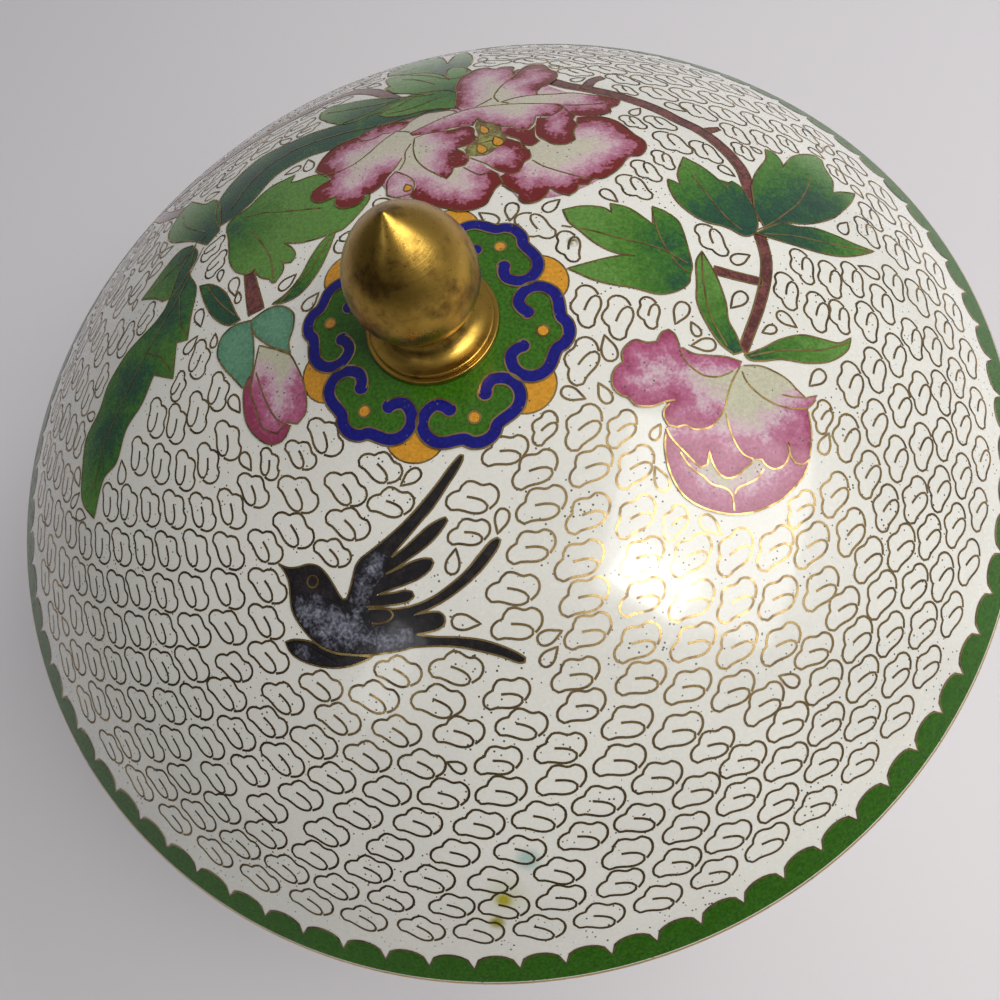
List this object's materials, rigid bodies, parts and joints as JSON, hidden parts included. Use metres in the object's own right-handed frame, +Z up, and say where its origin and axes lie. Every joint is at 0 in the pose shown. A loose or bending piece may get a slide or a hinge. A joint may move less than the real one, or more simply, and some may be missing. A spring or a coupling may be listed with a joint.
{
  "type": "cloisonne lidded bowl",
  "caption": "Round enamelled copper bowl on a brass foot ring, with a domed lift-off lid and a turned brass finial, decorated with flowers and a bird on a cloud ground.",
  "frame": {"origin": "centre of the foot ring's underside, on the surface the bowl stands on", "axes": "+Z up along the bowl's axis, -Y towards the viewer"},
  "size_m": [0.254, 0.254, 0.1841],
  "materials": {
    "enamel_bowl": "glossy white enamel on copper with flush brass wires and coloured enamel flowers",
    "enamel_lid": "glossy white enamel on copper with flush brass wires and coloured enamel flowers",
    "foot_brass": "worn satin brass",
    "aged_brass": "aged polished brass with dark patina"
  },
  "bodies": {
    "root": {"bowl": "enamel_bowl", "foot_ring": "foot_brass", "lid": "enamel_lid", "finial": "aged_brass"}
  },
  "joints": []
}
